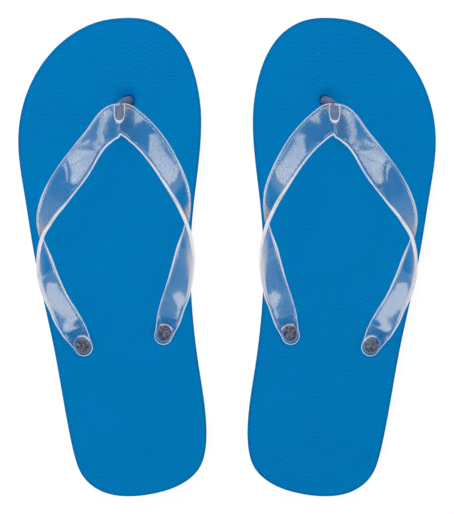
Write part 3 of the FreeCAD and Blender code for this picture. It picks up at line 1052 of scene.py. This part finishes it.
def build_band():
    centres, halves, apex = band_sections()
    across = cross_stations()
    grid = centres[:, None, :] + halves[:, None, :] * across[None, :, None]
    sign = -1 if grid_normals(grid)[apex, len(across) // 2, 2] < 0 else 1
    from_edge = edge_distance(grid)
    arc = arc_length(centres)
    raise_outer_leg(grid, arc - arc[apex])
    normals = grid_normals(grid) * sign
    # slight crown, fading out towards the pads
    fade = ease(arc, 10, 26) * ease(arc[-1] - arc, 10, 26)
    grid = grid + normals * (0.42 * (1 - across[None, :] ** 2) * fade[:, None])[:, :, None]

    # half thickness: a round bead along the edge, then the web
    bead = np.sqrt(np.maximum(BEAD_RADIUS ** 2 - (BEAD_RADIUS - from_edge) ** 2, 0))
    blend = 1 - ease(from_edge, BEAD_RADIUS + 0.05, BEAD_RADIUS + 0.85)
    above = np.where(from_edge < BEAD_RADIUS, bead, WEB + (BEAD_RADIUS - WEB) * blend)
    below = above.copy()
    tray, ridge, notch, line, slot = apex_features(grid, apex)
    above = above * (1 - tray) - 0.30 * tray + 0.55 * ridge + 0.16 * line

    # painted highlight along the rims, as a pale matt finish: where the band stands on edge,
    # more of the rim is seen
    steep = 1 + 1.4 * (1 - np.abs(normals[:, :, 2]))
    edge = 1 - ease(from_edge, 0.26 * steep, 0.64 * steep)
    # the U-shaped ridge and the fine line carry the painted rim highlight as well
    highlight_above = np.maximum(np.maximum(edge, ridge), 0.35 * line) * (1 - notch)
    highlight_below = edge

    # collars round the plugs, on the face that looks up at the pads
    for hole, heading in ((OUTER_HOLE, OUTER_HEADING), (INNER_HOLE, INNER_HEADING)):
        along = direction(heading)
        offset = grid[:, :, :2] - hole
        radius = np.hypot((offset @ along) / (1 + HEAD_STRETCH),
                          offset @ np.array((-along[1], along[0])))
        low = grid[:, :, 2] < SOLE_TOP + 3.0
        # the collar is wider on its front side, and a painted highlight makes it brighter there
        lead = ease((offset @ np.array((0.36, 0.93))) / 4.0, 0.62, 0.95)
        collar = np.exp(-((radius - 4.22 - 0.12 * lead) / (0.36 + 0.26 * lead)) ** 2)
        below = below + low * (0.55 * collar * ease(from_edge, 0.05, 0.7))
        below = below - low * (0.35 * (1 - ease(radius, 3.3, 3.9)))
        # painted highlight on the collar, strongest on its front side
        highlight_below = np.maximum(highlight_below, low * ((0.28 + 0.72 * lead) * collar))

    upper = grid + normals * above[:, :, None]
    lower = grid - normals * below[:, :, None]
    # both faces close along the edges and ends
    for border in (np.s_[:, 0], np.s_[:, -1], 0, -1):
        upper[border] = lower[border] = grid[border]
    vertices = np.vstack([upper.reshape(-1, 3), lower.reshape(-1, 3)])
    rim_highlight_share = np.concatenate([highlight_above.reshape(-1), highlight_below.reshape(-1)])
    faces = band_faces(slot)
    used = np.zeros(len(vertices), bool)
    used[faces] = True
    return vertices[used], (np.cumsum(used) - 1)[faces], rim_highlight_share[used]


# --------------------------------------------------------------------------
# toe post and plugs
# --------------------------------------------------------------------------
DISC_RADIUS = 7.0
DISC_BOTTOM = 1.4
DISC_TOP = RECESS_ROOF
DISC_ROUND = 1.0
STEM_RADIUS = 2.5
HEAD_TOP = 17.45
LATHE_SIDES = 72


def tube(knots, rings, sides):
    """Closed tube along a spline through knots of x, y, z, radius."""
    knots = np.array(knots)
    places = arc_length(knots[:, :3])
    line = natural_spline(places, knots)(np.linspace(0, places[-1], rings))
    path, radii = line[:, :3], line[:, 3]
    tangents = np.gradient(path, axis=0)
    tangents /= np.linalg.norm(tangents, axis=1)[:, None]
    angle = full_turn(sides)
    across = np.array((1.0, 0.0, 0.0))
    blocks = []
    for centre, radius, tangent in zip(path, radii, tangents):
        across = across - tangent * (across @ tangent)
        across /= np.linalg.norm(across)
        other = np.cross(tangent, across)
        blocks.append(centre + radius * (np.cos(angle)[:, None] * across
                                         + np.sin(angle)[:, None] * other))
    faces = []
    for i in range(rings - 1):
        for j in range(sides):
            k = (j + 1) % sides
            faces.append((i * sides + j, i * sides + k,
                          (i + 1) * sides + k, (i + 1) * sides + j))
    start = rings * sides
    last_ring = start - sides
    for j in range(sides):
        k = (j + 1) % sides
        faces.append((start, k, j))
        faces.append((start + 1, last_ring + j, last_ring + k))
    return np.vstack(blocks + [path[0], path[-1]]), faces


def lathe(profile):
    """Solid of revolution about z from (radius, z) pairs that start and end on the axis."""
    sides = LATHE_SIDES
    angle = full_turn(sides)
    blocks = [np.array([[0, 0, profile[0][1]]])]
    for radius, z in profile[1:-1]:
        blocks.append(np.c_[radius * np.cos(angle), radius * np.sin(angle), np.full(sides, z)])
    blocks.append(np.array([[0, 0, profile[-1][1]]]))
    rings = len(profile) - 2
    last = 1 + rings * sides
    faces = []
    for j in range(sides):
        k = (j + 1) % sides
        faces.append((0, 1 + k, 1 + j))
        for i in range(rings - 1):
            low = 1 + i * sides
            high = low + sides
            faces.append((low + j, low + k, high + k, high + j))
        faces.append((last, last - sides + j, last - sides + k))
    return np.vstack(blocks), faces


def arc(centre, z, radius, start, end, steps):
    """Points (radius, z) on an arc between two angles in degrees."""
    angles = [math.radians(start + (end - start) * i / steps) for i in range(steps + 1)]
    return [(centre + radius * math.cos(angle), z + radius * math.sin(angle))
            for angle in angles]


def disc_profile():
    """Rounded retaining disc with a shallow dish below, up to the start of the stem."""
    top_round = DISC_ROUND * 0.5
    profile = [(0, DISC_BOTTOM + 0.25), (DISC_RADIUS * 0.55, DISC_BOTTOM + 0.25),
               (DISC_RADIUS * 0.66, DISC_BOTTOM + 0.05)]
    profile += arc(DISC_RADIUS - DISC_ROUND, DISC_BOTTOM + DISC_ROUND, DISC_ROUND,
                   start=-90, end=0, steps=6)
    profile += arc(DISC_RADIUS - top_round, DISC_TOP - top_round, top_round,
                   start=0, end=90, steps=4)
    return profile + [(3.0, 4.02), (2.62, 4.3), (STEM_RADIUS, 4.9)]


def plug_profile():
    profile = disc_profile()
    profile += [(STEM_RADIUS, z) for z in (7.0, 9.0, 11.0, 13.0, 14.4)]
    under = HEAD_TOP - 1.15
    profile += [(2.55, under - 0.1), (3.3, under)]
    profile += arc(3.3, under + 0.30, 0.30, start=-90, end=0, steps=4)
    # dished head: radius, depth below its top
    head = ((3.6, 0.55), (3.48, 0.26), (3.2, 0.08), (2.7, 0), (2.0, 0.02),
            (1.3, 0.14), (0.7, 0.24), (0, 0.27))
    return profile + [(radius, HEAD_TOP - depth) for radius, depth in head]


def build_plug(hole, heading, lean):
    """Plug with its head stretched along the band and leaning by (x, y)."""
    vertices, faces = lathe(plug_profile())
    x, y, z = vertices.T
    x = x * (1 + HEAD_STRETCH * ease(z, 15.6, 16.2))
    cosine, sine = direction(heading)
    vertices = np.c_[x * cosine - y * sine + hole[0], x * sine + y * cosine + hole[1], z]
    vertices[:, :2] += ease(z, 14.0, 16.0)[:, None] * np.array(lean)
    return vertices, faces


def root_plate(half_width, front, length, power, layers):
    """U-shaped plate in the root's frame; layers are pairs of z and inset."""
    outline = [(-half_width, front), (half_width, front)]
    for angle in np.linspace(0, math.pi, 41):
        cosine, sine = np.cos(angle), np.sin(angle)
        outline.append((half_width * np.sign(cosine) * abs(cosine) ** (2 / power),
                        ROOT_STRAIGHT + length * abs(sine) ** (2 / power)))
    outline = np.array(outline)
    outward = outline - np.array((0.0, ROOT_STRAIGHT))
    outward /= np.maximum(np.linalg.norm(outward, axis=1)[:, None], 1e-9)
    blocks = []
    for z, inset in layers:
        flat = outline - outward * inset
        blocks.append(ROOT_ORIGIN + np.array((ROOT_SHIFT, 0, 0)) + flat[:, :1] * ROOT_X
                      + flat[:, 1:2] * ROOT_Y + z * ROOT_Z)
    count = len(outline)
    last = (len(layers) - 1) * count
    faces = []
    for start in range(0, last, count):
        for j in range(count):
            k = (j + 1) % count
            faces.append((start + j, start + k, start + count + k, start + count + j))
    faces.append(tuple(range(count))[::-1])
    faces.append(tuple(range(last, last + count)))
    return np.vstack(blocks), faces


def root_knots(rows, shift=0.0):
    """Tube knots from rows of x, y, z in the root's frame and radius."""
    return [(*(ROOT_ORIGIN + ROOT_X * (x - shift) + ROOT_Y * y + ROOT_Z * z), radius)
            for x, y, z, radius in rows]


def build_post():
    """Closed shells that together make the toe post."""
    vertices, faces = lathe(disc_profile() + [(STEM_RADIUS, 9.0), (2.45, 14.0),
                                              (2.3, 15.2), (0, 15.4)])
    base = (vertices + np.array((*TOE_HOLE, 0)), faces)
    # stem from the hole up to the underside of the root: x, y, z, radius
    stem = [(*TOE_HOLE, 10.0, 2.35), (*TOE_HOLE, 13.0, 2.40), (*TOE_HOLE, 15.2, 2.42),
            (-54.6, 86.5, 17.2, 2.40), (-55.7, 86.1, 19.0, 2.30),
            (-57.1, 85.4, 20.4, 2.18), (-58.5, 84.6, 21.3, 2.05)]
    stem += root_knots([(0, 0.4, -3.0, 1.88), (0, 2.6, -2.55, 1.70), (0, 5.0, -2.2, 1.30)])
    # tongue that wraps over the front edge of the band through its notch
    tongue = root_knots([
        (-1.2, -0.6, -3.0, 0.9), (-1.1, -1.35, -1.8, 0.85), (-1.0, -1.25, -0.6, 0.75),
        (-0.9, -0.55, 0.22, 0.62), (-0.8, 0.6, 0.38, 0.55), (-0.6, 2.0, 0.22, 0.5),
        (-0.4, 3.2, 0.05, 0.4)], shift=0.2)
    # plate lying in the tray, and the block below it that fills the slot
    plate = root_plate(half_width=2.34, front=1.3, length=5.50, power=2.5, layers=[
        (-0.24, 0.1), (-0.15, 0.0), (0.28, 0.0), (0.46, 0.10), (0.56, 0.38)])
    block = root_plate(half_width=1.55, front=2.2, length=4.60, power=2.4, layers=[
        (-3.0, 0.7), (-2.7, 0.25), (-2.2, 0.0), (0.1, 0.0)])
    return [base, tube(stem, rings=60, sides=40), tube(tongue, rings=40, sides=24),
            plate, block]


# --------------------------------------------------------------------------
# put the pieces together
# --------------------------------------------------------------------------
# sole layers: name, shape, material, sharp angle in degrees, attribute
LAYERS = (("footbed", build_footbed(), FOOTBED_FOAM, 50, "dot"),
          ("midsole", build_midsole(), MIDSOLE_FOAM, 40, None),
          ("outsole", build_outsole(), OUTSOLE_FOAM, 40, None))
BAND = build_band()
# the band pulls the plugs' heads over a little
PLUGS = (("outer", build_plug(OUTER_HOLE, OUTER_HEADING, lean=(0.30, -0.40))),
         ("inner", build_plug(INNER_HOLE, INNER_HEADING, lean=(0.0, 0.45))))
POST = build_post()


def place_sandal(side, mirror):
    forefoot, heel = side + "_forefoot", side + "_heel"
    for layer, shape, material, sharp_angle, attribute in LAYERS:
        piece = make_object(side + "_" + layer, shape, material, mirror, merge=0.002,
                            sharp_angle=sharp_angle, attribute=attribute)
        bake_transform(piece)
        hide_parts(f"{side}_{layer}_front", f"{side}_{layer}_rear")

    band = make_object(side + "_band", BAND, CLEAR_PLASTIC, mirror, merge=0.001,
                       attribute="rim")
    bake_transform(band)
    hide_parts(side + "_strap")

    for place, shape in PLUGS:
        plug = make_object(f"{side}_{place}_stud", shape, SMOKE_PLASTIC, mirror,
                           merge=0.0005, sharp_angle=35)
        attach(plug, heel)
        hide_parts(f"{side}_{place}_plug")

    post = make_remeshed(side + "_post", POST, SMOKE_POST, mirror, voxel=0.20, smooth_steps=4)
    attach(post, forefoot)
    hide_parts(side + "_toe_post")


place_sandal("left", mirror=False)
place_sandal("right", mirror=True)

# --------------------------------------------------------------------------
# floor, world, lights and camera; metres from here on
# --------------------------------------------------------------------------
FLOOR_HALF = 4.0
FLOOR_Z = -0.0003
WARM = (1.0, 0.845, 0.594)
CAMERA_DISTANCE = 2.4       # above the footbed
VIEW_WIDTH = 0.28407        # width in view at the footbed
SENSOR_WIDTH = 36.0

# Panels that light only the bands, given for the left one: name, point they are seen from
# (mm), azimuth from +Y towards +X, elevation, distance (m), angular width and height,
# slant, brightness. Angles are in degrees.
PANELS = (
    ("front_box", (-38, 56, 39), 19.7, 11.5, 1.10, 55.4, 15.9, -32, 2.25),
    ("side_low", (-81, 58, 38), -7.8, 19.3, 0.12, 8.9, 14, -24, 2.25),
    ("side_high", (-80, 48, 43), -2.1, 33, 0.09, 8.0, 22, -20, 2.25),
    ("toe_strip", (-68, 75, 29), -24.9, 30.4, 0.21, 8.9, 9.1, 0, 2.0),
    ("heel_strip", (-28, -28, 28), -149.2, 0.5, 0.15, 6.8, 14, 0, 2.4),
    ("rear_box", (-90, -22, 38), 124, 3.5, 0.22, 38, 17, 0, 2.25),
)


def add_floor():
    mesh = bpy.data.meshes.new("floor")
    corners = ((-1, -1), (1, -1), (1, 1), (-1, 1))
    mesh.from_pydata([(x * FLOOR_HALF, y * FLOOR_HALF, FLOOR_Z) for x, y in corners],
                     [], [(0, 1, 2, 3)])
    floor = new_object("floor", mesh)
    mesh.materials.append(floor_material())


def add_world():
    """Pale room with a dim ceiling: quiet reflections, walls that show through the bands."""
    world = bpy.data.worlds.new("studio")
    bpy.context.scene.world = world
    world.use_nodes = True
    graph = Graph(world.node_tree)
    path = graph.node("LightPath").outputs
    incoming = graph.node("NewGeometry").outputs["Incoming"]
    height = graph.node("SeparateXYZ", {0: incoming}).outputs["Z"]
    walls = graph.remap(height, source=(-0.45, -0.20), to=(0.17, 0.88))

    def choose(flag, off, on):
        return graph.add(graph.multiply(off, graph.math("SUBTRACT", 1.0, flag)),
                         graph.multiply(on, flag))

    level = choose(path["Is Glossy Ray"], off=0.74, on=0.17)
    level = choose(path["Is Transmission Ray"], off=level, on=walls)
    level = choose(path["Is Camera Ray"], off=level, on=0.98)
    background = world.node_tree.nodes["Background"]
    background.inputs["Color"].default_value = (0.97, 0.985, 1.0, 1)
    world.node_tree.links.new(level, background.inputs["Strength"])


def receivers(name, objects):
    """Collection of the objects that a light is limited to."""
    collection = bpy.data.collections.new(name)
    for thing in objects:
        collection.objects.link(thing)
    return collection


def area_light(name, width, height, power, colour, lit):
    light = bpy.data.lights.new(name, "AREA")
    light.shape = "RECTANGLE"
    light.size = width
    light.size_y = height
    light.energy = power
    light.color = colour
    lamp = new_object(name, light)
    lamp.visible_camera = False
    lamp.light_linking.receiver_collection = lit
    return lamp


def add_key():
    """Light from high in front that reaches everything but the bands."""
    objects = [thing for thing in bpy.context.scene.objects
               if thing.type == "MESH" and not thing.hide_render
               and not thing.name.endswith("_band")]
    lamp = area_light("key", width=0.9, height=0.7, power=13.0, colour=(1, 1, 1),
                      lit=receivers("lit_by_key", objects))
    lamp.location = (-0.35, 1.00, 1.15)
    aim = -Vector((-0.35, 1.00, 1.15))
    lamp.rotation_euler = aim.to_track_quat("-Z", "Y").to_euler()


def add_panel(name, seen_from, azimuth, elevation, distance, wide, high, slant, level,
              lit, mirror):
    azimuth, elevation, slant = (math.radians(a) for a in (azimuth, elevation, slant))
    view = Vector((math.sin(azimuth) * math.cos(elevation),
                   math.cos(azimuth) * math.cos(elevation), math.sin(elevation)))
    location = Vector(seen_from) * MM + view * distance
    right = view.cross(Vector((0, 0, 1))).normalized()
    up = -right * math.sin(slant) + right.cross(view) * math.cos(slant)
    if mirror:
        for vector in (location, view, up):
            vector.x = -vector.x
    width = 2 * distance * math.tan(math.radians(wide / 2))
    height = 2 * distance * math.tan(math.radians(high / 2))
    lamp = area_light(name, width, height, level * math.pi * width * height, WARM, lit)
    # the panel shines along its own -Z
    matrix = Matrix((up.cross(view).normalized(), up.normalized(), view)).transposed().to_4x4()
    matrix.translation = location
    lamp.matrix_world = matrix


def add_camera():
    data = bpy.data.cameras.new("camera")
    camera = new_object("camera", data)
    data.sensor_width = SENSOR_WIDTH
    data.lens = SENSOR_WIDTH * CAMERA_DISTANCE / VIEW_WIDTH
    data.clip_start = 0.1
    data.clip_end = 20.0
    camera.location = (0.0, 0.0, SOLE_TOP * MM + CAMERA_DISTANCE)
    bpy.context.scene.camera = camera


add_floor()
add_world()
add_key()
for side, mirror in (("left", False), ("right", True)):
    lit = receivers("lit_" + side, [bpy.data.objects[side + "_band"]])
    for name, *values in PANELS:
        add_panel(f"{side}_{name}", *values, lit=lit, mirror=mirror)
add_camera()
settings = bpy.context.scene.view_settings
settings.view_transform = "Standard"
settings.look = "None"
settings.exposure = 0.0
settings.gamma = 1.0
